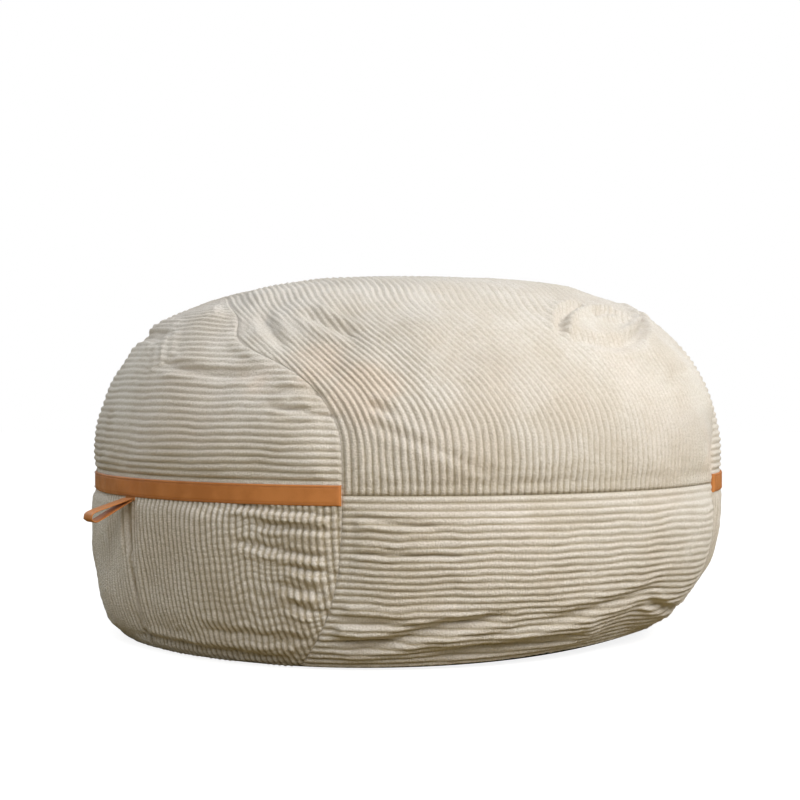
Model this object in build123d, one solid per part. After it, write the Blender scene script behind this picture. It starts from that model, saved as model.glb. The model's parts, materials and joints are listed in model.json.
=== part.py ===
from build123d import *
from math import asin, cos, radians, sin
import os

# Foam-filled corduroy bean bag chair, in millimetres.
# Origin at the centre of the base, on the floor; +Z up.
# Azimuths are in degrees from the front (-Y), growing towards +X.

# Whole form: a profile of four tangent arcs, from the crown to the flat base
HEIGHT = 684.0
ARC_R = (1478.0, 214.0, 786.0, 139.0)
ARC_ENDS = (0.0, 17.2, 73.7, 100.35, 180.0)
COVER_T = 5.0
LINER_T = 2.0
EQUATOR_Z = 294.0

# Panel layout
STRIP_AZ = 28.25
STRIP_HALF_W = 382.0
CORNER_AZ = (-10.5, 67.0, 169.5, 247.0)
SPLIT_AZ = -54.0
BASE_EDGE_R = 530.0

# Tan band over the equator seam
BAND_H, BAND_T = 34.0, 2.5

# Folded strap handle, hinged where it is sewn in under the band
STRAP_W, STRAP_DROOP = 34.0, 22.0
ROOT_R, TIP_R, STRAP_L = 3.4, 9.5, 76.0
GAP_ROOT_R, GAP_TIP_R, GAP_START = 0.6, 6.7, 15.0
HINGE_OUT, HINGE_Z = 617.4, 272.0
TAB_IN, TAB_OUT, TAB_H = 607.3, 613.6, 6.0

# Zip in a recess across the base; its line is along X
ZIP_HALF_L = 380.0
RECESS_HALF_W, RECESS_H, PLACKET_T = 24.0, 14.0, 2.0
TAPE_HALF_GAP, TAPE_T, TAPE_Z = 0.6, 0.8, 10.0
COIL_R = 1.3
STOP_L = 6.0
SLIDER_L, SLIDER_W, SLIDER_WALL, SLIDER_CLEAR = 14.0, 10.0, 1.3, 0.4
SLIDER_X = -ZIP_HALF_L + 4 * STOP_L
PULL_L, PULL_W, PULL_T, PULL_DROOP = 28.0, 6.0, 1.4, 6.0
PIN_R, PIN_CLEAR, EYE_R, PIN_Z = 0.8, 0.08, 1.6, 3.8
LUG_T, LUG_GAP = 1.2, 0.4

BIG = 900.0


def outward(azimuth, radius=1.0, z=0.0):
    """The point at this radius and height, in this azimuth's direction."""
    return Vector(radius * sin(radians(azimuth)), -radius * cos(radians(azimuth)), z)


def bag(inset=0.0):
    """The whole bag as one solid, moved inwards by inset all round."""
    centre_r, centre_z = 0.0, HEIGHT - ARC_R[0]
    edges, corner = [], (0.0, 0.0, HEIGHT - inset)
    for i, radius in enumerate(ARC_R):
        start, end = radians(ARC_ENDS[i]), radians(ARC_ENDS[i + 1])
        if i:
            centre_r += (ARC_R[i - 1] - radius) * sin(start)
            centre_z += (ARC_R[i - 1] - radius) * cos(start)
        if i == len(ARC_R) - 1:
            centre_z = radius
        middle, last = [
            (centre_r + (radius - inset) * sin(t), 0.0, centre_z + (radius - inset) * cos(t))
            for t in ((start + end) / 2, end)
        ]
        edges.append(ThreePointArc(corner, middle, last))
        corner = last
    foot = (0.0, 0.0, inset)
    edges += [Line(corner, foot), Line(foot, (0.0, 0.0, HEIGHT - inset))]
    return revolve(make_face(edges), Axis.Z)


def between(z0, z1):
    """Everything between two heights."""
    return Pos(0, 0, z0) * extrude(Rectangle(2 * BIG, 2 * BIG), z1 - z0)


def wedge(az0, az1, z0=-10.0, z1=BIG):
    """Everything between two azimuths less than half a turn apart."""
    mid = (az0 + az1) / 2
    corners = [(0, 0)] + [(outward(a, BIG).X, outward(a, BIG).Y) for a in (az0, mid, az1)]
    return Pos(0, 0, z0) * extrude(make_face(Polyline(*corners, close=True)), z1 - z0)


def slab(d0, d1):
    """Everything between two distances from the crown strip's centre plane."""
    width = Pos((d0 + d1) / 2, 0, 0) * Box(d1 - d0, 2 * BIG, 2 * BIG)
    return Rot(0, 0, STRIP_AZ) * width


def cylinder(radius, z0, z1):
    """A solid cylinder about Z between two heights."""
    return Pos(0, 0, z0) * extrude(Circle(radius), z1 - z0)


def recess(grow=0.0):
    """The zip's recess in the underside, grown on its top and all sides."""
    length = 2 * (ZIP_HALF_L + 10 + grow)
    width = 2 * (RECESS_HALF_W + grow)
    return Pos(0, 0, -1) * extrude(Rectangle(length, width), RECESS_H + 1 + grow)


def radial(shape, azimuth, radius, z, droop=0.0):
    """A shape drawn with +X outwards, put at an azimuth and tipped down by droop."""
    return Pos(outward(azimuth, radius, z)) * Rot(0, 0, azimuth - 90) * Rot(0, droop, 0) * shape


def tapered(r0, x0, r1, x1, width):
    """A strap's side view: two circles joined by their tangents, width deep along Y."""
    tilt = asin((r1 - r0) / (x1 - x0))
    near, far = [
        [(x - r * sin(tilt), 0, side * r * cos(tilt)) for side in (1, -1)]
        for x, r in ((x0, r0), (x1, r1))
    ]
    face = make_face([
        Line(near[0], far[0]),
        ThreePointArc(far[0], (x1 + r1, 0, 0), far[1]),
        Line(far[1], near[1]),
        ThreePointArc(near[1], (x0 - r0, 0, 0), near[0]),
    ])
    return extrude(face, width / 2, dir=(0, 1, 0), both=True)


def cover_panels(tab):
    """The corduroy panels, the base and the bands."""
    skin = bag() - bag(COVER_T)
    upper = skin & between(EQUATOR_Z, BIG)
    lower = (skin & between(-1, EQUATOR_Z)) - cylinder(BASE_EDGE_R, -1, 60)
    corner_a, corner_b, corner_c, corner_d = CORNER_AZ
    corner_e = corner_a + 360
    handle_side = wedge(SPLIT_AZ, corner_a)
    panels = {
        "crown_strip": upper & slab(-STRIP_HALF_W, STRIP_HALF_W),
        "upper_panel_left": upper & slab(-BIG, -STRIP_HALF_W),
        "upper_panel_right": upper & slab(STRIP_HALF_W, BIG),
        "lower_panel_front_right": lower & wedge(corner_a, corner_b),
        "lower_panel_rear_left": lower & wedge(corner_c, corner_d),
        "lower_panel_front": (lower & handle_side) - tab,
        "lower_panel_left": (lower & wedge(corner_d, SPLIT_AZ + 360)) - tab,
        "lower_panel_rear": lower & wedge(SPLIT_AZ + 180, corner_c),
        "lower_panel_right": lower & wedge(corner_b, SPLIT_AZ + 180),
    }
    belt = (bag(-BAND_T) - bag()) & between(EQUATOR_Z - BAND_H / 2, EQUATOR_Z + BAND_H / 2)
    panels["band_left"] = belt & wedge(corner_d, corner_e)
    panels["band_right"] = belt & wedge(corner_b, corner_c)
    return panels


def base_panels():
    """The underside in two halves, each turned up into the zip's recess as a placket."""
    floor = (bag() - bag(COVER_T)) & cylinder(BASE_EDGE_R, -1, 60)
    walls = (recess(PLACKET_T) - recess(0)) & between(0, RECESS_H)
    base = (floor - recess(PLACKET_T)) + walls
    half = Box(2 * BIG, BIG, 200)
    return {
        "base_panel_front": base & (Pos(0, -BIG / 2, 0) * half),
        "base_panel_rear": base & (Pos(0, BIG / 2, 0) * half),
    }


def inner_parts():
    """The liner's two shells, its closure strip and the foam, all clear of the zip's recess."""
    hollow = recess(PLACKET_T)
    trough = (recess(PLACKET_T + LINER_T) - hollow) & bag(COVER_T)
    liner = (bag(COVER_T) - bag(COVER_T + LINER_T)) - hollow + trough
    closure = Pos(0, 300, COVER_T) * extrude(Rectangle(420, 24), LINER_T)
    return {
        "liner_upper": liner & between(EQUATOR_Z, BIG),
        "liner_lower": (liner & between(-1, EQUATOR_Z)) - closure,
        "liner_closure": closure,
        "foam_fill": bag(COVER_T + LINER_T) - recess(PLACKET_T + LINER_T),
    }


def zip_rail(side):
    """One half of the zip: its tape, and its coil beside the centre line."""
    tape_w = RECESS_HALF_W - TAPE_HALF_GAP
    low = (Align.CENTER, Align.CENTER, Align.MIN)
    tape = Pos(0, side * (TAPE_HALF_GAP + tape_w / 2), TAPE_Z)
    tape = tape * Box(2 * ZIP_HALF_L, tape_w, TAPE_T, align=low)
    coil = Pos(0, side * COIL_R, TAPE_Z - COIL_R) * Rot(0, 90, 0)
    return tape, coil * Cylinder(COIL_R, 2 * (ZIP_HALF_L - STOP_L))


def zip_stops():
    """A clamped stop at each end of the coils."""
    x, z = ZIP_HALF_L - STOP_L / 2, TAPE_Z - COIL_R
    return Compound([Pos(side * x, 0, z) * Box(STOP_L, 4 * COIL_R, 2 * COIL_R) for side in (-1, 1)])


def zip_slider():
    """The slider: a channel round the coils, with two lugs and the pull's pin below it."""
    high = (Align.CENTER, Align.CENTER, Align.MAX)
    top = TAPE_Z - SLIDER_CLEAR
    bottom = top - 2 * COIL_R - SLIDER_WALL
    channel_w = 4 * COIL_R + 2 * SLIDER_CLEAR
    channel_h = 2 * COIL_R + SLIDER_CLEAR
    body = Pos(0, 0, top) * Box(SLIDER_L, SLIDER_W, top - bottom, align=high)
    body -= Pos(0, 0, top + 1) * Box(SLIDER_L + 2, channel_w, channel_h + 1, align=high)
    lug_y = PULL_W / 2 + LUG_GAP + LUG_T / 2
    for side in (-1, 1):
        body += Pos(0, side * lug_y, bottom) * Box(2 * EYE_R, LUG_T, bottom - PIN_Z + EYE_R, align=high)
    pin = Pos(0, 0, PIN_Z) * Rot(90, 0, 0) * Cylinder(PIN_R, 2 * lug_y)
    return Pos(SLIDER_X, 0, 0) * (body + pin)


def zip_pull():
    """The pull: an eye round the pin, and a flat tab that tips down towards the floor."""
    tab = extrude(SlotOverall(PULL_L, PULL_W), PULL_T / 2, both=True)
    tab = Pos(PULL_L / 2 - EYE_R, 0, 0) * tab
    eye = Rot(90, 0, 0) * Cylinder(EYE_R, PULL_W * 0.8)
    bore = Rot(90, 0, 0) * Cylinder(PIN_R + PIN_CLEAR, PULL_W + 2)
    return Pos(SLIDER_X, 0, PIN_Z) * Rot(0, PULL_DROOP, 0) * ((tab + eye) - bore)


def handle():
    """The strap's sewn-in tab and its loop, in their places."""
    loop = tapered(ROOT_R, 0, TIP_R, STRAP_L, STRAP_W)
    loop -= tapered(GAP_ROOT_R, GAP_START, GAP_TIP_R, STRAP_L, STRAP_W + 2)
    outer = (Align.MAX, Align.CENTER, Align.MAX)
    tab = Pos(TAB_OUT, 0, 0) * Box(TAB_OUT - TAB_IN, STRAP_W, TAB_H, align=outer)
    tab = radial(tab, SPLIT_AZ, 0, EQUATOR_Z - BAND_H / 2)
    return tab, radial(loop, SPLIT_AZ, HINGE_OUT, HINGE_Z, STRAP_DROOP)


tab, loop = handle()
parts = cover_panels(tab) | base_panels() | inner_parts()
parts |= {"handle_tab": tab, "handle_loop": loop}
for name, side in {"front": -1, "rear": 1}.items():
    parts["zip_tape_" + name], parts["zip_coil_" + name] = zip_rail(side)
parts |= {"zip_stops": zip_stops(), "zip_slider": zip_slider(), "zip_pull": zip_pull()}

os.makedirs("parts", exist_ok=True)
for name, shape in parts.items():
    export_step(shape, f"parts/{name}.step")
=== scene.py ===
"""Corduroy bean bag chair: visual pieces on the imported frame. Metres, +Z up, azimuths in
degrees from the front (-Y) growing towards +X. A place on the bag is (azimuth, climb): climb is
0 at the waist seam, 1 at the crown and -1 at the edge of the base."""
import json
import math
import bpy
import numpy as np
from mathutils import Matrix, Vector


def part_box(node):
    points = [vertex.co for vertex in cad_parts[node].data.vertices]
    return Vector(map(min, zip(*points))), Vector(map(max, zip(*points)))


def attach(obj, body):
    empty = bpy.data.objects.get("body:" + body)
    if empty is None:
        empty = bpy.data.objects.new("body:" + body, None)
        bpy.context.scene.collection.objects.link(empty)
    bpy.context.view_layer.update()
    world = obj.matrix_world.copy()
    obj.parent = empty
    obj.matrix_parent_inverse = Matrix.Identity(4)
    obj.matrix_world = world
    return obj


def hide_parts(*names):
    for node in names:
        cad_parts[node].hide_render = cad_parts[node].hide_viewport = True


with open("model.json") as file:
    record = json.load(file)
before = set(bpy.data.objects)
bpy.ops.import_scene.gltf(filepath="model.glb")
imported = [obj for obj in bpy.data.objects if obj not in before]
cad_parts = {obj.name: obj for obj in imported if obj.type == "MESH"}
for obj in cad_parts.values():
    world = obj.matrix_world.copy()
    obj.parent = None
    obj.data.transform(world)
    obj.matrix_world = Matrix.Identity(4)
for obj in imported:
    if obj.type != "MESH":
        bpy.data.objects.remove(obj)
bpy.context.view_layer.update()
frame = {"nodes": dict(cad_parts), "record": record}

WAIST_R = -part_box("crown_strip")[0][1]
WAIST_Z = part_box("liner_upper")[0][2]
# the form stops this far under the CAD crown, because the simulated cloth swells past it
CROWN_ROOM = 0.012
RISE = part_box("crown_strip")[1][2] - WAIST_Z - CROWN_ROOM

# panel layout: the strip's middle and half width, the corner seams, and the split under the handle
STRIP_AZ, STRIP_HALF = 28.25, 38.75
CORNERS = (-10.5, 67.0, 169.5, 247.0)
SPLIT_AZ = -54.0
# lower sides as (radius, z) of Bezier corners, where the bag is fullest and where it hangs slack
FULL_SIDE = ((WAIST_R, WAIST_Z), (0.616, 0.175), (0.610, 0.030), (0.558, 0.002))
SLACK_SIDE = ((WAIST_R, WAIST_Z), (0.617, 0.200), (0.600, 0.095), (0.482, 0.016))
FULLEST_AZ = -70.0
# degrees that each lower seam swings on its way down, and the power of that swing
SEAM_SWING = {
    CORNERS[0]: (-9.0, 3),
    CORNERS[1]: (13.0, 1.5),
    CORNERS[2]: (-9.0, 3),
    CORNERS[3]: (13.0, 1.5),
    SPLIT_AZ: (1.0, 3),
    SPLIT_AZ + 180: (1.0, 3),
}

# corduroy: pitch and height of the wales, roughness of the pile, spacing of the beads
WALE, WALE_HEIGHT = 0.012, 0.0036
PILE = 0.00028
BEAD = 0.0135
# how far folds and simulated cloth together may leave the form
MOST_IN, MOST_OUT = -0.019, 0.0095

# cloth simulation: length, columns, distance held at seams, deepest dip kept, smoothing passes
SIM_FRAMES, SIM_COLUMNS = 20, 280
SEAM_HOLD = 0.007
SIM_IN, SIM_BLUR = -0.006, 5

BAND_PROUD, STITCH_IN, STITCH = 0.0032, 0.0035, 0.0042
LINER_IN = 0.025
RECESS_MARGIN = 0.010
# the base rolls in under the foot seam by this much, plus a share of the seam's height
ROLL_IN, ROLL_SLOPE = 0.020, 3.0


# ---------------------------------------------------------------- form of the bag

def along(points):
    """Distance along a line of points, from its start."""
    steps = np.linalg.norm(np.diff(points, axis=0), axis=1)
    return np.concatenate([[0.0], np.cumsum(steps)])


def upper_table():
    """(climb, radius, height fraction) up the side and over to the crown."""
    height = 1 - (1 - np.linspace(0, 1, 3000)) ** 1.5
    radius = WAIST_R * (1 - height ** 2.5) ** (1 / 3.5)
    line = along(np.stack([radius, RISE * height], 1))
    return line / line[-1], radius, height, line[-1]


def lower_table(corners):
    """(climb, radius, z) down a side that follows a cubic Bezier from the waist to the base edge."""
    a, b, c, d = [np.array(p) for p in corners]
    t = np.linspace(0, 1, 600)[:, None]
    points = (1 - t) ** 3 * a + 3 * (1 - t) ** 2 * t * b + 3 * (1 - t) * t ** 2 * c + t ** 3 * d
    line = along(points)
    return line / line[-1], points[:, 0], points[:, 1], line[-1]


UPPER, FULL, SLACK = upper_table(), lower_table(FULL_SIDE), lower_table(SLACK_SIDE)
UPPER_LEN = UPPER[3]
LOWER_LEN = (FULL[3] + SLACK[3]) / 2


def smooth(x, low=0.0, high=1.0):
    """0 below low, 1 above high, and a smooth rise between them."""
    t = np.clip((x - low) / (high - low), 0, 1)
    return t * t * (3 - 2 * t)


def slackness(az):
    """0 where the filling bulges out over the floor, 1 where the cover hangs slack."""
    return smooth(0.5 - 0.75 * np.cos(np.radians(az - FULLEST_AZ)))


def form(az, climb, inset=0.0):
    """Points of the bag's smooth form, moved inwards by inset."""
    az, climb = np.broadcast_arrays(np.asarray(az, float), np.asarray(climb, float))
    up, down = np.clip(climb, 0, 1), np.clip(-climb, 0, 1)
    slack = slackness(az)
    low_r = (1 - slack) * np.interp(down, FULL[0], FULL[1]) + slack * np.interp(down, SLACK[0], SLACK[1])
    low_z = (1 - slack) * np.interp(down, FULL[0], FULL[2]) + slack * np.interp(down, SLACK[0], SLACK[2])
    radius = np.where(climb > 0, np.interp(up, UPPER[0], UPPER[1]), low_r)
    z = np.where(climb > 0, WAIST_Z + RISE * np.interp(up, UPPER[0], UPPER[2]), low_z)
    if inset:
        z = np.clip(z, 0, WAIST_Z + RISE) * (1 - inset / WAIST_Z / 2) + inset / 2
        radius = radius * (1 - inset / WAIST_R)
    turn = np.radians(az)
    return np.stack([radius * np.sin(turn), -radius * np.cos(turn), z], -1)


def wale_drift(across, sweep, climb):
    """Degrees by which the strip's wales lean to the left as they climb the front."""
    share = smooth(across, -1.3, 0.3) * smooth(np.sin(sweep), -0.5, 0.5)
    return 16.0 * share * smooth(climb, 0.10, 0.50)


def seam_drift(across, sweep, climb):
    """Degrees by which the strip's seams have been pulled away from its straight cut, past its wales."""
    ahead, behind = smooth(np.sin(sweep), 0.0, 0.3), smooth(-np.sin(sweep), 0.0, 0.3)
    left, right = smooth(across, 0.55, 1.0), smooth(-across, 0.0, 1.0)
    bulge = 6.0 * np.exp(-((climb - 0.330) / 0.060) ** 2)
    spread = 8.0 * smooth(climb, 0.06, 0.18) * smooth(-climb, -0.50, -0.30)
    rear = 5.0 * smooth(climb, 0.10, 0.28) * smooth(-climb, -0.60, -0.40) * (right - left)
    return ahead * (left * bulge - right * spread) + behind * rear


def strip_place(across, sweep):
    """(azimuth, climb) in the crown strip. across is 1 at its left seam and -1 at its right;
    sweep is 90 degrees at its front end, 0 midway over the top and -90 at its rear end."""
    end = np.radians(across * STRIP_HALF)
    sweep = np.radians(sweep)
    side = WAIST_R * np.sin(end)
    ahead = WAIST_R * np.cos(end) * np.sin(sweep)
    inside = np.clip(1 - (side ** 2 + ahead ** 2) / WAIST_R ** 2, 0, 1)
    height = (1 - (1 - inside) ** 1.75) ** 0.4
    climb = np.interp(height, UPPER[2], UPPER[0])
    az = STRIP_AZ - np.degrees(np.arctan2(side, ahead))
    drift = wale_drift(across, sweep, climb) + seam_drift(across, sweep, climb)
    return az - drift, climb


def strip_phase(across, sweep, az, climb):
    """Number of wales, from the strip's middle line to each place: they keep the cloth's straight
    grain, so a seam that has been pulled aside cuts across them."""
    straight = np.radians(STRIP_AZ - az - wale_drift(across, sweep, climb))
    side = np.interp(climb, UPPER[0], UPPER[1]) * np.sin(straight)
    return np.arcsin(np.clip(side / WAIST_R, -1, 1)) * WAIST_R / WALE


# ---------------------------------------------------------------- folds

# (places along the fold, depth, half width, lip above it, lip below it)
FOLDS = [
    # rows of short pleats that run into the front corner seam
    ([(-31, -.05), (-20, -.08), (-9, -.12)], .0075, .0065, 0.1, 1.1),
    ([(-26, -.16), (-9, -.19)], .0060, .0065, 0.4, 0.9),
    ([(-30, -.25), (-20, -.30), (-11, -.34)], .0065, .0070, 0.3, 1.0),
    ([(-20, -.37), (-10, -.43)], .0060, .0070, 0.2, 0.9),
    ([(-22, -.48), (-12, -.54)], .0055, .0075, 0.3, 0.8),
    ([(-20, -.58), (-12, -.65)], .0055, .0080, 0.3, 0.7),
    ([(-38, -.76), (-13, -.80)], .0050, .0090, 0.4, 0.6),
    # creases right of the corner seam, and drapes low on the front
    ([(-11, -.09), (-3, -.14), (5, -.16)], .0055, .0060, 0.2, 0.5),
    ([(-11, -.30), (12, -.32)], .0055, .0055, 0.5, 0.6),
    ([(-14, -.66), (0, -.69), (8, -.66)], .0070, .0090, 0.6, 0.5),
    ([(-15, -.80), (-5, -.80), (5, -.71), (18, -.62)], .0120, .0110, 0.7, 0.5),
    ([(2, -.90), (18, -.86), (36, -.82)], .0110, .0120, 0.7, 0.4),
    ([(22, -.70), (50, -.54)], .0055, .0110, 0.5, 0.5),
    ([(46, -.63), (58, -.72), (72, -.78)], .0080, .0085, 0.5, 0.4),
    # the pinched horseshoe high on the right, and a crease below it
    ([(80, .48), (65, .40), (48, .34)], .0190, .0085, 0.9, 0.3),
    ([(58, .36), (44, .33), (31, .34)], .0085, .0130, 0.6, 0.4),
    ([(29, .33), (35, .42), (47, .48)], .0160, .0085, 0.4, 0.8),
    ([(44, .43), (54, .44), (62, .39)], .0140, .0070, 0.7, 0.5),
    ([(52, .21), (60, .25), (68, .25)], .0040, .0120, 0.5, 0.4),
    # dimples, ridge and creases on the left shoulder and along the strip's left seam
    ([(-78, .34), (-66, .35), (-56, .34)], .0120, .0150, 0.7, 0.3),
    ([(-57, .35), (-50, .26)], -.0070, .0120, -0.5, -0.5),
    ([(-52, .27), (-38, .25), (-25, .25)], .0070, .0090, 0.4, 0.5),
    ([(-26, .20), (-18, .21), (-12, .19)], .0050, .0060, 0.4, 0.5),
    ([(-25, .18), (-9, .15)], .0055, .0060, 0.5, 0.5),
    ([(-23, .42), (-9, .34)], .0080, .0110, 0.6, 0.4),
    ([(-34, .43), (-22, .30)], .0060, .0110, 0.5, 0.5),
    ([(-7, .18), (-2, .16)], .0060, .0080, 0.5, 0.3),
    ([(-8, .15), (4, .09), (15, .03)], .0028, .0080, 0.8, 0.6),
    # gathers just above the waist seam, and the pleat and crease by the handle and foot
    ([(-11, .02), (12, .02), (34, .03)], .0050, .0050, 0.4, 0.4),
    ([(-55, -.02), (-55, -.42)], .0100, .0090, 0.4, 0.4),
    ([(-54, .15), (-54, -.50), (-53, -1.0)], .0140, .0060, 0.0, 0.0),
    ([(-60, -.88), (-18, -.92)], .0070, .0080, 0.5, 0.4),
    # the same kinds of folds on the sides and the back
    ([(150, -.80), (170, -.74), (192, -.68)], .0100, .0120, 0.6, 0.5),
    ([(158, -.18), (172, -.22)], .0060, .0070, 0.3, 0.9),
    ([(156, -.37), (171, -.43)], .0060, .0075, 0.3, 0.9),
    ([(96, -.86), (110, -.80), (126, -.79)], .0100, .0120, 0.6, 0.5),
    ([(225, .42), (205, .30), (190, .40)], .0120, .0150, 0.5, 0.4),
    ([(92, .36), (105, .33), (120, .35)], .0110, .0150, 0.6, 0.3),
    ([(140, .25), (152, .29), (163, .26)], .0090, .0120, 0.5, 0.4),
    ([(232, -.56), (256, -.76)], .0110, .0120, 0.5, 0.5),
    ([(255, .20), (264, .25), (276, .24)], .0090, .0130, 0.5, 0.4),
]
# (place, radius) of patches where the pile lies flat and the wales hardly show
BRUSHED = [((-60, .20), .13), ((-30, .30), .07), ((42, .40), .04), ((67, .18), .07), ((72, .30), .05),
           ((-70, -.40), .14), ((60, -.20), .11), ((120, .40), .12), ((200, .25), .12), ((150, -.50), .12)]
# (place, radius) of patches where the nap reflects a warmer, peach tone
WARM = [((-7, .20), .06), ((-16, .27), .05), ((-27, .25), .04), ((64, .07), .05),
        ((110, .20), .06), ((190, .30), .07), ((240, .15), .06)]


def curve(points, count):
    """count places on a smooth curve through the given ones, evenly spaced."""
    points = np.array(points, float)
    padded = np.vstack([2 * points[0] - points[1], points, 2 * points[-1] - points[-2]])
    out = []
    for i in range(len(points) - 1):
        a, b, c, d = padded[i:i + 4]
        t = np.linspace(0, 1, 40, endpoint=i == len(points) - 2)[:, None]
        out.append(0.5 * (2 * b + (c - a) * t + (2 * a - 5 * b + 4 * c - d) * t ** 2
                          + (3 * b - a - 3 * c + d) * t ** 3))
    out = np.vstack(out)
    line = along(out)
    even = np.linspace(0, line[-1], count)
    return np.stack([np.interp(even, line, out[:, k]) for k in range(out.shape[1])], 1)


def fold_offset(points):
    """How far the folds push each point of the form out along its normal."""
    flat = points.reshape(-1, 3)
    offset = np.zeros(len(flat))
    for places, depth, width, above, below in FOLDS:
        places = curve(places, 48)
        line = form(places[:, 0], places[:, 1])
        reach = along(line)[-1] / 2 + 5 * width
        near = np.nonzero(np.linalg.norm(flat - line.mean(0), axis=1) < reach)[0]
        if not len(near):
            continue
        gap = np.linalg.norm(flat[near, None] - line[None], axis=2)
        nearest, at = gap.min(1), gap.argmin(1)
        ends = smooth(at / 47, 0, 0.2) * smooth(1 - at / 47, 0, 0.2)
        higher = smooth(flat[near, 2] - line[at, 2], -width, width)
        valley = np.exp(-(nearest / width) ** 1.4)
        bank = np.exp(-((nearest - 1.9 * width) / (0.9 * width)) ** 2)
        offset[near] += depth * ends * ((below + (above - below) * higher) * bank - valley)
    return offset.reshape(points.shape[:-1])


def brushed(points):
    """1 where the pile is brushed flat, 0 where the wales stand up."""
    total = np.zeros(points.shape[:-1])
    for place, radius in BRUSHED:
        gap = np.linalg.norm(points - form(*place), axis=-1)
        total = np.maximum(total, np.exp(-(gap / radius) ** 2))
    return np.clip(total * (1 + undulation(points, 5, (0.03, 0.12), 0.35)), 0, 1)


def warmth(points):
    """1 where the nap lies so that the cream looks peach, 0 elsewhere."""
    gaps = [np.linalg.norm(points - form(*place), axis=-1) / radius for place, radius in WARM]
    near = np.exp(-np.min(gaps, axis=0) ** 2)
    return np.clip(near * (1 + undulation(points, 6, (0.04, 0.15), 0.4)), 0, 1)


def groove_shade_amount(az, climb):
    """How much shade is painted into the grooves between the wales, in place of the shade that falls there:
    most below the waist on the left of the front, least above it on the left side."""
    front_left = (0.5 + 0.5 * np.cos(np.radians(az + 25))) ** 3
    left = (0.5 + 0.5 * np.cos(np.radians(az + 60))) ** 3
    above, below = smooth(climb, -0.03, 0.03), smooth(-climb, -0.24, 0.0)
    return 0.50 - 0.10 * above - 0.17 * left * above + 0.50 * front_left * below


def undulation(points, seed, wavelengths, amplitude):
    """A smooth random field: a sum of plane waves with fixed seeds."""
    rng = np.random.default_rng(seed)
    total = np.zeros(points.shape[:-1])
    for _ in range(24):
        direction = rng.normal(size=3)
        direction /= np.linalg.norm(direction)
        length = rng.uniform(*wavelengths)
        total += np.sin(points @ direction * 2 * np.pi / length + rng.uniform(0, 2 * np.pi))
    return amplitude * total / np.sqrt(12)


# ---------------------------------------------------------------- meshes

def normals(points):
    """Outward unit normals of a grid of points."""
    out = np.cross(np.gradient(points, axis=0), np.gradient(points, axis=1))
    out /= np.linalg.norm(out, axis=-1, keepdims=True) + 1e-12
    centre = np.array([0, 0, WAIST_Z])
    return out if ((points - centre) * out).sum() > 0 else -out


def edge_distance(points):
    """Distance of each point of a grid from the grid's nearest edge."""
    near = None
    for axis in (0, 1):
        steps = np.linalg.norm(np.diff(points, axis=axis), axis=-1)
        pad = [(0, 0), (0, 0)]
        pad[axis] = (1, 0)
        run = np.pad(np.cumsum(steps, axis=axis), pad)
        total = np.take(run, [-1], axis=axis)
        side = np.minimum(run, total - run)
        near = side if near is None else np.minimum(near, side)
    return near


def add_object(name, vertices, faces, material, body, smooth_shaded=True):
    """A mesh object that wears a material and rides on a body."""
    mesh = bpy.data.meshes.new(name)
    mesh.from_pydata([tuple(v) for v in vertices], [], faces)
    mesh.materials.append(material)
    mesh.polygons.foreach_set("use_smooth", [smooth_shaded] * len(mesh.polygons))
    mesh.update()
    obj = bpy.data.objects.new(name, mesh)
    bpy.context.scene.collection.objects.link(obj)
    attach(obj, body)
    return obj


def grid_object(name, points, material, body="cover", fields=None, closed=False):
    """A grid of points as a mesh, with its per-point fields as attributes."""
    rows, cols = points.shape[:2]
    index = np.arange(rows * cols).reshape(rows, cols)
    if closed:
        index = np.concatenate([index, index[:1]], 0)
    quads = np.stack([index[:-1, :-1], index[1:, :-1], index[1:, 1:], index[:-1, 1:]], -1).reshape(-1, 4)
    flat = points.reshape(-1, 3)
    a, b, c = flat[quads[:, 0]], flat[quads[:, 1]], flat[quads[:, 2]]
    facing = (np.cross(b - a, c - a) * (a - np.array([0, 0, WAIST_Z]))).sum()
    if facing < 0:
        quads = quads[:, ::-1]
    mesh = bpy.data.meshes.new(name)
    mesh.vertices.add(len(flat))
    mesh.vertices.foreach_set("co", flat.ravel())
    mesh.loops.add(quads.size)
    mesh.loops.foreach_set("vertex_index", quads.ravel())
    mesh.polygons.add(len(quads))
    mesh.polygons.foreach_set("loop_start", np.arange(0, quads.size, 4))
    mesh.polygons.foreach_set("use_smooth", np.ones(len(quads), bool))
    mesh.update(calc_edges=True)
    for key, values in (fields or {}).items():
        mesh.attributes.new(key, "FLOAT", "POINT").data.foreach_set("value", values.ravel())
    mesh.materials.append(material)
    obj = bpy.data.objects.new(name, mesh)
    bpy.context.scene.collection.objects.link(obj)
    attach(obj, body)
    return obj


def wale(phase):
    """Height of a wale, from 0 in its groove to 1 along its crown."""
    return (0.5 - 0.5 * np.cos(2 * np.pi * phase)) ** 0.5


def hem(grid, inward):
    """A grid with one more ring all round, turned inwards by a vector at each point."""
    ring = np.pad(grid, [(1, 1), (1, 1), (0, 0)], mode="edge")
    turned = ring - np.pad(inward, [(1, 1), (1, 1), (0, 0)], mode="edge")
    ring[0], ring[-1], ring[:, 0], ring[:, -1] = turned[0], turned[-1], turned[:, 0], turned[:, -1]
    return ring


def lower_seam(corner, down):
    """Azimuth of a seam below the waist, at each share of the way down to the base."""
    degrees, power = SEAM_SWING[corner]
    return corner + degrees * down ** power


def seam_lines():
    """Points along every seam of the cover."""
    az = np.arange(0, 360, 1.0)
    lines = [form(az, 0.0), form(az, -1.0)]
    sweep = np.linspace(-90, 90, 240)
    lines += [form(*strip_place(side * 1.0, sweep)) for side in (1, -1)]
    down = np.linspace(0, 1, 40)
    lines += [form(lower_seam(corner, down), -down) for corner in SEAM_SWING]
    return np.vstack(lines)


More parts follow.
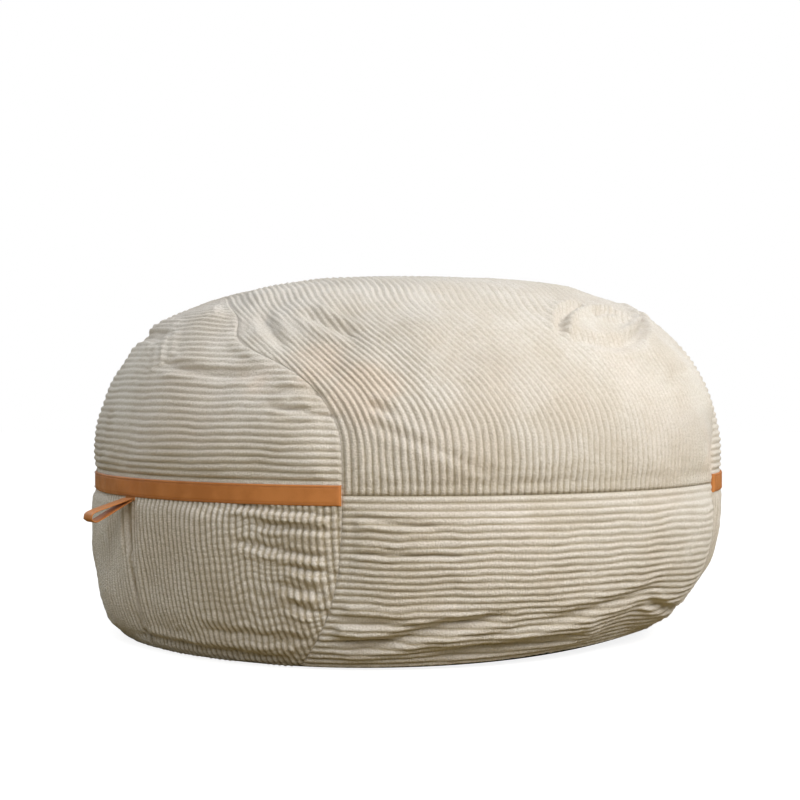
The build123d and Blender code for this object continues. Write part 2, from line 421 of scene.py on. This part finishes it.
def settled_offsets():
    """A cloth simulation of the whole cover: held along its seams, pushed out by its filling and cut
    a little too large. Returns its grid and how far each point ends from the smooth form."""
    az = np.linspace(0, 360, SIM_COLUMNS, endpoint=False)
    climb = np.concatenate([np.linspace(-1, 0, 26)[:-1], np.linspace(0, 0.985, 64)])
    rest = form(az[:, None], climb[None, :])
    rows, cols = rest.shape[:2]
    index = np.arange(rows * cols).reshape(rows, cols)
    around = np.roll(index, -1, axis=0)
    faces = np.stack([index[:, :-1], around[:, :-1], around[:, 1:], index[:, 1:]], -1).reshape(-1, 4)
    crown = rows * cols
    cap = [(index[i, -1], around[i, -1], crown) for i in range(rows)]
    points = np.vstack([rest.reshape(-1, 3), form(0.0, 1.0)])
    mesh = bpy.data.meshes.new("cover_cloth")
    mesh.from_pydata(points.tolist(), [], faces.tolist() + cap)
    cloth = bpy.data.objects.new("cover_cloth", mesh)
    bpy.context.scene.collection.objects.link(cloth)
    seams = seam_lines()
    gap = np.array([np.linalg.norm(seams - p, axis=1).min() for p in points])
    cloth.vertex_groups.new(name="seams").add(np.nonzero(gap < SEAM_HOLD)[0].tolist(), 1.0, "REPLACE")
    spare = cloth.vertex_groups.new(name="spare")
    for i, weight in enumerate(np.clip(0.45 + undulation(points, 31, (0.25, 0.70), 0.45), 0, 1)):
        spare.add([i], float(weight), "REPLACE")
    cloth_settings(cloth.modifiers.new("cloth", "CLOTH"))
    for step in range(1, SIM_FRAMES + 1):
        bpy.context.scene.frame_set(step)
    graph = bpy.context.evaluated_depsgraph_get()
    moved = np.empty(len(points) * 3)
    cloth.evaluated_get(graph).data.vertices.foreach_get("co", moved)
    bpy.data.objects.remove(cloth)
    bpy.context.scene.frame_set(1)
    shift = moved.reshape(-1, 3)[:-1].reshape(rest.shape) - rest
    return az, climb, softened((shift * normals(rest)).sum(-1))


def softened(field):
    """Takes the hardest creases out of the simulated offsets: plush on a soft filling rounds them."""
    field = np.clip(field, SIM_IN, MOST_OUT)
    for _ in range(SIM_BLUR):
        field = (np.roll(field, 1, axis=0) + 2 * field + np.roll(field, -1, axis=0)) / 4
        sides = np.pad(field, [(0, 0), (1, 1)], mode="edge")
        field = (sides[:, :-2] + 2 * field + sides[:, 2:]) / 4
    return field


def cloth_settings(modifier):
    """Corduroy over a soft filling: no gravity, pressure inside, and 1 to 8 % of spare cloth."""
    modifier.point_cache.frame_start, modifier.point_cache.frame_end = 1, SIM_FRAMES
    modifier.collision_settings.use_collision = False
    settings = modifier.settings
    settings.quality = 5
    settings.mass = 0.3
    settings.tension_stiffness = settings.compression_stiffness = 15
    settings.shear_stiffness = 5
    settings.bending_stiffness = 0.5
    settings.use_pressure = True
    settings.uniform_pressure_force = 4
    settings.vertex_group_mass = "seams"
    settings.vertex_group_shrink = "spare"
    settings.shrink_min, settings.shrink_max = -0.01, -0.08
    settings.effector_weights.gravity = 0


def cloth_offset(az, climb):
    """The simulated offsets at any places, smoothed between the simulation's points."""
    sim_az, sim_climb, field = SETTLED
    u = (az % 360) / 360 * len(sim_az)
    v = np.interp(climb, sim_climb, np.arange(len(sim_climb)))
    i, j = np.floor(u).astype(int), np.minimum(np.floor(v).astype(int), len(sim_climb) - 2)
    u, v = smooth(u - i), v - j
    i, after = i % len(sim_az), (i + 1) % len(sim_az)
    low = field[i, j] * (1 - u) + field[after, j] * u
    return low * (1 - v) + (field[i, j + 1] * (1 - u) + field[after, j + 1] * u) * v


def corduroy_panel(name, az, climb, phase, material, beads=0.0):
    """A sewn panel of corduroy: the form, its folds, its wales and its edges drawn into seams.
    beads is how far short pleats swell and pinch the wales along their length."""
    base = form(az, climb)
    normal = normals(base)
    near = edge_distance(base)
    inside = smooth(near, 0.012, 0.06)
    push = fold_offset(base) + cloth_offset(az, climb) * smooth(near, 0.0, 0.02)
    push = push + undulation(base, 11, (0.16, 0.42), 0.0030) * inside
    push = push + undulation(base, 12, (0.06, 0.13), 0.0008) * inside
    push = np.where(push > 0, push * smooth(near, 0.014, 0.035), push)
    push = np.clip(push, MOST_IN, MOST_OUT) - 0.0018 * np.exp(-(near / 0.0045) ** 2)
    base = base + normal * push[..., None]
    normal = normals(base)
    flat = brushed(base)
    wander = (undulation(base, 21, (0.09, 0.30), 0.10) + undulation(base, 22, (0.03, 0.08), 0.035)) * inside
    height = wale(phase + wander)
    grip = smooth(near, 0.0, 0.0035)
    # painted shade: how dark the grooves are coloured at each place, less where the pile is brushed flat
    depth = groove_shade_amount(az, climb) * (1 - 0.5 * flat)
    soft = 0.95 - 0.45 * flat + np.clip(undulation(base, 13, (0.03, 0.20), 0.10), -0.2, 0.2)
    pinch = np.sin(2 * np.pi * (base[..., 2] / BEAD + undulation(base, 23, (0.05, 0.20), 0.6)))
    swell = (beads * pinch * (1 - flat) + undulation(base, 14, (0.007, 0.022), PILE)) * height * grip
    points = base + normal * ((height - 0.5) * WALE_HEIGHT * grip * soft + swell)[..., None]
    points[..., 2] = np.maximum(points[..., 2], 0.0012)
    # painted shade: the grooves between the wales and the pinches between the beads are darkened in colour
    # where shade falls in them
    pinched = np.clip(-pinch, 0, 1) * beads / BEAD * 6
    fields = {"painted_groove_shade": np.clip((1 - height) ** 1.5 * depth + pinched * depth, 0, 1), "brushed": flat,
              "warm": warmth(base)}
    points = hem(points, normal * 0.010)
    fields = {key: np.pad(value, 1, mode="edge") for key, value in fields.items()}
    obj = grid_object(name + "_cloth", points, material, fields=fields)
    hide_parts(name)
    return obj


def even_rows(az, climb, phase, rows):
    """Resamples the columns of a dense grid of places and wale phases at even steps along the form."""
    points = form(az, climb)
    fields = [np.unwrap(az, period=360, axis=1), climb, phase]
    out = np.empty((3, az.shape[0], rows))
    for i in range(az.shape[0]):
        line = along(points[i])
        even = np.linspace(0, line[-1], rows)
        for k, field in enumerate(fields):
            out[k, i] = np.interp(even, line, field[i])
    return out


# ---------------------------------------------------------------- corduroy panels

def crown_strip(material):
    """The wide strip over the crown; its wales run along it."""
    wales = round(2 * np.radians(STRIP_HALF) * WAIST_R / WALE)
    across = np.linspace(-1, 1, 6 * wales + 1)[:, None]
    sweep = 90 * np.sin(np.linspace(-np.pi / 2, np.pi / 2, 900))[None, :]
    dense_az, dense_climb = strip_place(across, sweep)
    dense_phase = strip_phase(across, np.radians(sweep), dense_az, dense_climb)
    az, climb, phase = even_rows(dense_az, dense_climb, dense_phase, 235)
    corduroy_panel("crown_strip", az, climb, phase, material, 0.0006 * smooth(-climb, -0.14, -0.04))


def upper_side(name, side, material):
    """A D-shaped panel between the strip's seam and the waist; its wales run level."""
    sweep = 90 * np.sin(np.linspace(-np.pi / 2, np.pi / 2, 4001))
    az, climb = strip_place(side * 1.0, sweep)
    az = np.unwrap(az, period=360)
    top = np.argmax(climb)
    rows = np.linspace(0, climb[top], int(climb[top] * UPPER_LEN / WALE * 6))
    rear = np.interp(rows, climb[:top + 1], az[:top + 1])
    front = np.interp(rows, climb[top:][::-1], az[top:][::-1])
    t = np.linspace(0, 1, 180)[:, None]
    grid_az = front + (rear - front) * t
    grid_climb = np.broadcast_to(rows, grid_az.shape)
    corduroy_panel(name, grid_az, grid_climb, grid_climb * UPPER_LEN / WALE, material)


def lower_side(name, left, right, upright, material):
    """A panel below the waist between two corners or splits; upright wales run up and down."""
    width = np.radians((right - left) % 360) * WAIST_R
    t = np.linspace(0, 1, int(width / 0.0022))[:, None]
    climb = -np.linspace(0, 1, int(LOWER_LEN / 0.0022))[None, :]
    start, end = lower_seam(left, -climb), lower_seam(right, -climb)
    az = start + (end - start + (0 if right > left else 360)) * t
    climb = np.broadcast_to(climb, az.shape)
    if upright:
        phase = (az - left - 3.5 * climb ** 2) * np.radians(WAIST_R) / WALE
    else:
        phase = -climb * LOWER_LEN / WALE
    beads = 0.0009 * np.exp(-((az - CORNERS[0] + 4) / 24) ** 2) if upright else 0.0
    corduroy_panel(name, az, climb, phase, material, beads)


def cover(material):
    """All nine corduroy panels."""
    crown_strip(material)
    upper_side("upper_panel_left", 1, material)
    upper_side("upper_panel_right", -1, material)
    a, b, c, d = CORNERS
    lower_side("lower_panel_front", SPLIT_AZ, a, True, material)
    lower_side("lower_panel_left", d, SPLIT_AZ, True, material)
    lower_side("lower_panel_front_right", a, b, False, material)
    lower_side("lower_panel_right", b, SPLIT_AZ + 180, True, material)
    lower_side("lower_panel_rear", SPLIT_AZ + 180, c, True, material)
    lower_side("lower_panel_rear_left", c, d, False, material)


# ---------------------------------------------------------------- bands and handle

def band(name, ends, material, thread):
    """A padded leather-look band over the waist seam between two corners, stitched along its edges."""
    low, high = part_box(name)[0][2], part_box(name)[1][2]
    az = np.linspace(ends[0], ends[1], 240)[:, None]
    across = np.sin(np.linspace(-np.pi / 2, np.pi / 2, 25))[None, :]
    half = (high - low) / 2
    z = (low + high) / 2 + half * across
    from_end = np.radians(np.minimum(az - ends[0], ends[1] - az)) * WAIST_R
    edge = np.minimum(half * (1 - np.abs(across)), from_end)
    proud = BAND_PROUD * smooth(edge, -0.002, 0.0025) - 0.0007 * np.exp(-((edge - STITCH_IN) / 0.0012) ** 2)
    radius = WAIST_R + 0.0018 + proud + undulation(form(az, 0.0), 17, (0.05, 0.25), 0.0005)
    turn = np.radians(az)
    points = np.stack([radius * np.sin(turn), -radius * np.cos(turn), z + 0 * az], -1)
    points = hem(points, normals(points) * 0.007)
    obj = grid_object(name + "_leather", points, material)
    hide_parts(name)
    dense = np.linspace(ends[0] + 0.6, ends[1] - 0.6, 1200)
    turn = np.radians(dense)
    level = np.stack([np.sin(turn), -np.cos(turn), 0 * turn], -1)
    rows = [level * (WAIST_R + 0.0018 + BAND_PROUD) + [0, 0, (low + high) / 2 + side * (half - STITCH_IN)]
            for side in (-1, 1)]
    stitches(name + "_stitches", rows, [level, level], thread)


def stitches(name, rows, outward, material, body="cover"):
    """Short rounded stitches along lines of points that lie on a surface."""
    points, faces = [], []
    t = np.linspace(-1, 1, 5)
    turn = np.linspace(0, 2 * np.pi, 6, endpoint=False)
    for line, out in zip(rows, outward):
        run = along(line)
        for at in np.arange(STITCH / 2, run[-1], STITCH):
            span = at + t * STITCH * 0.36
            centre = np.stack([np.interp(span, run, line[:, k]) for k in range(3)], 1)
            up = np.stack([np.interp(span, run, out[:, k]) for k in range(3)], 1)
            ahead = centre[-1] - centre[0]
            side = np.cross(up, ahead / np.linalg.norm(ahead))
            girth = 0.00045 * np.sqrt(1.04 - t ** 2)[:, None, None]
            ring = up[:, None] * np.cos(turn)[:, None] + side[:, None] * np.sin(turn)[:, None]
            lift = up[:, None] * (0.0003 - 0.0006 * t ** 2)[:, None, None]
            start = len(points)
            points += (centre[:, None] + ring * girth + lift).reshape(-1, 3).tolist()
            for i in range(4):
                faces += [(start + i * 6 + k, start + i * 6 + (k + 1) % 6,
                           start + i * 6 + 6 + (k + 1) % 6, start + i * 6 + 6 + k) for k in range(6)]
            faces += [tuple(start + k for k in range(5, -1, -1)), tuple(start + 24 + k for k in range(6))]
    return add_object(name, points, faces, material, body)


def handle(material):
    """The folded strap: out from its root under the band, round the tip and back."""
    joint = next(j for j in frame["record"]["behaviour"]["joints"] if j["name"] == "handle_fold")
    root, axis = np.array(joint["pos_m"]), np.array(joint["axis"])
    level = np.array([-axis[1], axis[0], 0.0])
    droop = math.radians(22)
    out = level * math.cos(droop) - np.array([0, 0, math.sin(droop)])
    up = level * math.sin(droop) + np.array([0, 0, math.cos(droop)])
    side = curve([(0, .0017), (.020, .0036), (.045, .0062), (.066, .0082), (.078, .0074), (.0838, 0)], 40)
    path = np.vstack([side, side[-2::-1] * [1, -1]])
    tangent = np.gradient(path, axis=0)
    tangent /= np.linalg.norm(tangent, axis=1, keepdims=True)
    turned = np.stack([-tangent[:, 1], tangent[:, 0]], 1)
    ring = []
    half, thick = 0.0165, 0.0013
    for a in np.linspace(0, 2 * np.pi, 28, endpoint=False):
        w = half * np.sign(np.cos(a)) * abs(np.cos(a)) ** 0.35
        n = thick * np.sign(np.sin(a)) * abs(np.sin(a)) ** 0.6
        at = path + turned * n
        ring.append(root + at[:, :1] * out + at[:, 1:] * up - w * axis)
    points = np.stack(ring)
    obj = grid_object("handle_strap", points, material, body="handle", closed=True)
    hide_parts("handle_loop")


# ---------------------------------------------------------------- underside

def recess_edge(az):
    """Radius at which each azimuth meets the zip's recess in the base."""
    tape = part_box("zip_tape_front")
    half_l, half_w = tape[1][0] + RECESS_MARGIN, -tape[0][1]
    turn = np.radians(az)
    return np.minimum(half_l / np.maximum(np.abs(np.sin(turn)), 1e-6),
                      half_w / np.maximum(np.abs(np.cos(turn)), 1e-6))


def base(material):
    """The dark underside in two halves, from the foot seam in to the zip's recess."""
    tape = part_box("zip_tape_front")
    corner = math.degrees(math.atan2(tape[1][0] + RECESS_MARGIN, -tape[0][1]))
    for name, ends in {"base_panel_front": (-90, 90), "base_panel_rear": (90, 270)}.items():
        az = np.unique(np.concatenate([np.linspace(-90, 90, 121), [-corner, corner]]))
        az = (az + (ends[0] + 90))[:, None]
        seam = form(az, -1.0)
        seam_r, seam_z = np.hypot(seam[..., 0], seam[..., 1]), seam[..., 2]
        inner = recess_edge(az)
        t = np.linspace(0, 1, 40)[None, :]
        contact = seam_r - ROLL_IN - ROLL_SLOPE * seam_z
        roll = smooth(t, 0, 0.35)
        radius = np.where(t < 0.35, seam_r + (contact - seam_r) * t / 0.35,
                          contact + (inner - contact) * (t - 0.35) / 0.65)
        z = seam_z * (1 - roll ** 0.5) + 0.0008
        turn = np.radians(az)
        points = np.stack([radius * np.sin(turn), -radius * np.cos(turn), z + 0 * az], -1)
        wall = points[:, -1:] + np.array([0, 0, 0.0095])
        lip = points[:, :1] + np.array([0, 0, 0.010])
        points = np.concatenate([lip, points, wall], 1)
        obj = grid_object(name + "_cloth", points, material)
        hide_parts(name)


def inner_pieces(liner, foam):
    """The liner's two shells and the foam, inside the cover."""
    az = np.linspace(0, 360, 97)[:-1, None]
    up, down = np.linspace(0, 1, 30)[None, :], -np.linspace(0, 1, 16)[None, :]
    upper = form(az, up, LINER_IN)
    lower = form(az, down, LINER_IN)
    lower[..., 2] = np.maximum(lower[..., 2], 0.017)
    foot = lower[:, -1:] * [0.5, 0.5, 1]
    middle = lower[:, -1:] * [0.0, 0.0, 1]
    lower = np.concatenate([lower, foot, middle], 1)
    for name, points in {"liner_upper": upper, "liner_lower": lower}.items():
        obj = grid_object(name + "_cloth", points, liner, closed=True)
        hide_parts(name)
    whole = np.concatenate([upper[:, ::-1], lower[:, 1:]], 1)
    whole = (whole - [0, 0, WAIST_Z]) * 0.985 + [0, 0, WAIST_Z]
    whole[..., 2] = np.maximum(whole[..., 2], 0.0185)
    obj = grid_object("foam_filling", whole, foam, closed=True)
    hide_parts("foam_fill")


# ---------------------------------------------------------------- materials

class Surface:
    """A node material under construction. Its methods add nodes and return their outputs."""

    def __init__(self, name):
        self.material = bpy.data.materials.new(name)
        self.material.use_nodes = True
        self.tree = self.material.node_tree
        self.shader = self.tree.nodes["Principled BSDF"]
        self.where = self.add("ShaderNodeTexCoord").outputs["Object"]

    def add(self, kind, sockets=None, **settings):
        node = self.tree.nodes.new(kind)
        for key, value in settings.items():
            setattr(node, key, value)
        for key, value in (sockets or {}).items():
            self.set(node.inputs[key], value)
        return node

    def set(self, socket, value):
        if isinstance(value, bpy.types.NodeSocket):
            self.tree.links.new(value, socket)
        else:
            socket.default_value = value

    def noise(self, scale, detail=3.0, roughness=0.5, stretch=None):
        where = self.where
        if stretch:
            where = self.add("ShaderNodeMapping", {"Vector": where, "Scale": stretch}).outputs[0]
        sockets = {"Vector": where, "Scale": scale, "Detail": detail, "Roughness": roughness}
        return self.add("ShaderNodeTexNoise", sockets).outputs["Fac"]

    def ramp(self, value, low, high, start=0.0, end=1.0):
        sockets = {"Value": value, "From Min": low, "From Max": high, "To Min": start, "To Max": end}
        return self.add("ShaderNodeMapRange", sockets, interpolation_type="SMOOTHSTEP").outputs[0]

    def mix(self, factor, a, b):
        node = self.add("ShaderNodeMix", data_type="RGBA")
        colours = [socket for socket in node.inputs if socket.type == "RGBA"]
        self.set(node.inputs[0], factor)
        for socket, colour in zip(colours, (a, b)):
            self.set(socket, colour if isinstance(colour, bpy.types.NodeSocket) else (*colour, 1))
        return next(socket for socket in node.outputs if socket.type == "RGBA")

    def attribute(self, name):
        return self.add("ShaderNodeAttribute", attribute_name=name).outputs["Fac"]

    def bump(self, height, distance, strength=1.0):
        sockets = {"Height": height, "Distance": distance, "Strength": strength}
        return self.add("ShaderNodeBump", sockets).outputs[0]

    def finish(self, **sockets):
        for key, value in sockets.items():
            self.set(self.shader.inputs[key.replace("_", " ")], value)
        return self.material


def corduroy_material():
    """Plush cream corduroy: pale crowns, shade painted into the grooves, and nap brushed in patches."""
    s = Surface("plush_corduroy")
    nap = s.ramp(s.noise(9.0, 4.0, 0.6), 0.36, 0.64)
    pile_relief = s.ramp(s.noise(330.0, 3.0, 0.65), 0.30, 0.70)
    crown = s.mix(nap, (0.745, 0.685, 0.605), (0.82, 0.775, 0.715))
    crown = s.mix(s.ramp(s.noise(4.0, 2.0), 0.50, 0.70, 0.0, 0.25), crown, (0.83, 0.73, 0.65))
    crown = s.mix(s.ramp(s.attribute("warm"), 0.0, 1.0, 0.0, 0.45), crown, (0.88, 0.71, 0.58))
    crown = s.mix(s.ramp(s.attribute("brushed"), 0.0, 1.0, 0.0, 0.6), crown, (0.83, 0.795, 0.735))
    # painted shade: grooves and bead pinches are mixed towards a dark olive that stands in for the shade in
    # them
    colour = s.mix(s.ramp(s.attribute("painted_groove_shade"), 0.0, 0.80), crown, (0.42, 0.355, 0.25))
    # painted shade: where the pile's bump dips, the colour is darkened towards the groove colour, standing
    # in for shade in its hollows
    colour = s.mix(s.ramp(pile_relief, 0.0, 1.0, 0.32, 0.0), colour, (0.40, 0.345, 0.25))
    pile = s.bump(pile_relief, 0.0016, 0.8)
    return s.finish(Base_Color=colour, Roughness=0.95, Sheen_Weight=0.30, Sheen_Roughness=0.5,
                    Sheen_Tint=(0.95, 0.93, 0.9, 1), Specular_IOR_Level=0.15, Normal=pile)


def leather_material():
    """Smooth tan leather-look strap: fine grain, slightly burnished."""
    s = Surface("tan_leather")
    cells = s.add("ShaderNodeTexVoronoi", {"Vector": s.where, "Scale": 620.0}).outputs["Distance"]
    tone = s.ramp(s.noise(22.0, 4.0), 0.35, 0.65)
    colour = s.mix(tone, (0.47, 0.172, 0.045), (0.56, 0.215, 0.060))
    grain = s.bump(cells, 0.0004, 0.5)
    rough = s.ramp(s.noise(60.0), 0.3, 0.7, 0.42, 0.56)
    return s.finish(Base_Color=colour, Roughness=rough, Specular_IOR_Level=0.3, Normal=grain)


def thread_material():
    """Twisted tan sewing thread, a shade darker than the band."""
    s = Surface("tan_thread")
    twist = s.add("ShaderNodeTexWave", {"Vector": s.where, "Scale": 900.0}, bands_direction="DIAGONAL")
    colour = s.mix(twist.outputs["Fac"], (0.36, 0.125, 0.035), (0.50, 0.20, 0.065))
    return s.finish(Base_Color=colour, Roughness=0.6, Normal=s.bump(twist.outputs["Fac"], 0.0002))


def metal_material():
    """Die-cast zip metal with fine scratches."""
    s = Surface("zip_alloy")
    streak = s.noise(240.0, 4.0, 0.6, (1.0, 7.0, 1.0))
    colour = s.mix(s.ramp(streak, 0.3, 0.7), (0.40, 0.39, 0.37), (0.58, 0.57, 0.54))
    rough = s.ramp(streak, 0.25, 0.75, 0.28, 0.46)
    return s.finish(Base_Color=colour, Metallic=1.0, Roughness=rough, Normal=s.bump(streak, 0.0002, 0.4))


def coil_material():
    """Nylon zip coil: fine teeth across its length."""
    s = Surface("zip_coil_nylon")
    teeth = s.add("ShaderNodeTexWave", {"Vector": s.where, "Scale": 190.0}).outputs["Fac"]
    colour = s.mix(teeth, (0.010, 0.010, 0.012), (0.05, 0.05, 0.055))
    return s.finish(Base_Color=colour, Roughness=0.42, Normal=s.bump(teeth, 0.0006))


def weave_material(name, dark, light, pitch, rough=0.85):
    """Plain woven cloth."""
    s = Surface(name)
    waves = []
    for direction in ("X", "Y"):
        sockets = {"Vector": s.where, "Scale": 1 / pitch / 3.1, "Distortion": 0.4}
        waves.append(s.add("ShaderNodeTexWave", sockets, bands_direction=direction).outputs["Fac"])
    weave = s.add("ShaderNodeMath", {0: waves[0], 1: waves[1]}, operation="MAXIMUM").outputs[0]
    tone = s.ramp(s.noise(14.0), 0.3, 0.7)
    colour = s.mix(s.ramp(weave, 0.2, 1.0), dark, s.mix(tone, dark, light))
    return s.finish(Base_Color=colour, Roughness=rough, Normal=s.bump(weave, 0.0004, 0.7))


def foam_material():
    """Shredded foam: mixed crumbs."""
    s = Surface("shredded_foam")
    cells = s.add("ShaderNodeTexVoronoi", {"Vector": s.where, "Scale": 60.0})
    value = s.ramp(cells.outputs["Distance"], 0.0, 0.8)
    colour = s.mix(value, (0.80, 0.74, 0.50), (0.52, 0.47, 0.30))
    return s.finish(Base_Color=colour, Roughness=0.9, Normal=s.bump(value, 0.003, 0.6))


# ---------------------------------------------------------------- studio

def studio():
    """Camera at the viewing angle, soft key light from the right, a fill, a weak rim from behind on the
    left, and white surroundings."""
    camera = bpy.data.objects.new("camera", bpy.data.cameras.new("camera"))
    camera.data.lens = 74.43
    camera.location = (-0.016, -3.3, 0.47)
    camera.rotation_euler = (math.radians(90 - 0.416), 0, 0)
    bpy.context.scene.collection.objects.link(camera)
    bpy.context.scene.camera = camera
    add_light("key", (2.75, -2.25, 2.65), (0, 0, 0.35), 1.8, 118, (1.0, 0.975, 0.950))
    add_light("fill", (0.4, -4.0, 2.6), (0, 0, 0.4), 2.2, 70, (1.0, 0.975, 0.95))
    add_light("rim", (-3.0, 1.7, 2.6), (0, 0, 0.3), 2.2, 34, (0.97, 0.985, 1.0))
    world = bpy.data.worlds.new("studio")
    world.use_nodes = True
    tree = world.node_tree
    seen, lit = tree.nodes.new("ShaderNodeBackground"), tree.nodes["Background"]
    seen.inputs[0].default_value = (1, 1, 1, 1)
    lit.inputs[0].default_value = (0.92, 0.965, 1.0, 1)
    direction = tree.nodes.new("ShaderNodeTexCoord").outputs["Generated"]
    height = tree.nodes.new("ShaderNodeSeparateXYZ")
    sky = tree.nodes.new("ShaderNodeMapRange")
    for socket, value in zip(("From Min", "From Max", "To Min", "To Max"), (0.0, 0.9, 0.32, 0.57)):
        sky.inputs[socket].default_value = value
    tree.links.new(direction, height.inputs[0])
    tree.links.new(height.outputs["Z"], sky.inputs["Value"])
    tree.links.new(sky.outputs[0], lit.inputs[1])
    share_by_camera(tree, lit, seen, tree.nodes["World Output"].inputs["Surface"])
    bpy.context.scene.world = world
    bpy.context.scene.view_settings.view_transform = "Standard"
    floor_plane()


def share_by_camera(tree, lit, seen, output):
    """Shows one shader to the camera and lights the scene with another."""
    mix, path = tree.nodes.new("ShaderNodeMixShader"), tree.nodes.new("ShaderNodeLightPath")
    tree.links.new(path.outputs["Is Camera Ray"], mix.inputs[0])
    tree.links.new(lit.outputs[0], mix.inputs[1])
    tree.links.new(seen.outputs[0], mix.inputs[2])
    tree.links.new(mix.outputs[0], output)


def floor_plane():
    """A white studio floor with a faint contact shadow, which throws little light back up."""
    s = Surface("studio_floor")
    tone = s.ramp(s.noise(0.8), 0.2, 0.8)
    bounce = s.mix(tone, (0.24, 0.185, 0.07), (0.27, 0.205, 0.08))
    lit = s.add("ShaderNodeBsdfDiffuse", {"Color": bounce})
    shaded = s.add("ShaderNodeBsdfDiffuse", {"Color": s.mix(tone, (0.34, 0.34, 0.34), (0.36, 0.36, 0.36))})
    glow = s.add("ShaderNodeEmission", {"Color": (1, 1, 1, 1), "Strength": 0.86})
    seen = s.add("ShaderNodeAddShader", {0: shaded.outputs[0], 1: glow.outputs[0]})
    output = s.tree.nodes["Material Output"].inputs["Surface"]
    share_by_camera(s.tree, lit, seen, output)
    t = np.linspace(-14, 14, 9)
    points = np.stack([*np.meshgrid(t, t, indexing="ij"), np.zeros((9, 9))], -1)
    faces = [(i * 9 + j, i * 9 + j + 9, i * 9 + j + 10, i * 9 + j + 1) for i in range(8) for j in range(8)]
    mesh = bpy.data.meshes.new("floor")
    mesh.from_pydata(points.reshape(-1, 3).tolist(), [], faces)
    mesh.materials.append(s.material)
    floor = bpy.data.objects.new("floor", mesh)
    bpy.context.scene.collection.objects.link(floor)


def add_light(name, at, aim, size, power, colour):
    """A square area light that faces a point."""
    light = bpy.data.lights.new(name, "AREA")
    light.size, light.energy, light.color = size, power, colour
    obj = bpy.data.objects.new(name, light)
    obj.location = at
    line = np.array(aim) - np.array(at)
    yaw, flat = math.atan2(line[1], line[0]), math.hypot(line[0], line[1])
    obj.rotation_euler = (math.atan2(flat, -line[2]), 0, yaw - math.pi / 2)
    bpy.context.scene.collection.objects.link(obj)


def dress(material, *nodes):
    """Gives the CAD nodes that stay visible a finished material."""
    for node in nodes:
        mesh_object = frame["nodes"][node]
        if not mesh_object.material_slots:
            mesh_object.data.materials.append(material)
        for material_slot in mesh_object.material_slots:
            material_slot.material = material


studio()
SETTLED = settled_offsets()
cover(corduroy_material())
leather, thread = leather_material(), thread_material()
band("band_left", (CORNERS[3] - 360, CORNERS[0]), leather, thread)
band("band_right", (CORNERS[1], CORNERS[2]), leather, thread)
handle(leather)
base(weave_material("base_weave", (0.006, 0.006, 0.008), (0.022, 0.022, 0.028), 0.0016))
liner = weave_material("liner_weave", (0.62, 0.62, 0.60), (0.80, 0.80, 0.78), 0.0012)
inner_pieces(liner, foam_material())
dress(leather, "handle_tab")
dress(liner, "liner_closure")
dress(weave_material("tape_weave", (0.008, 0.008, 0.010), (0.030, 0.030, 0.034), 0.0009), "zip_tape_front",
      "zip_tape_rear")
dress(coil_material(), "zip_coil_front", "zip_coil_rear")
dress(metal_material(), "zip_stops", "zip_slider", "zip_pull")
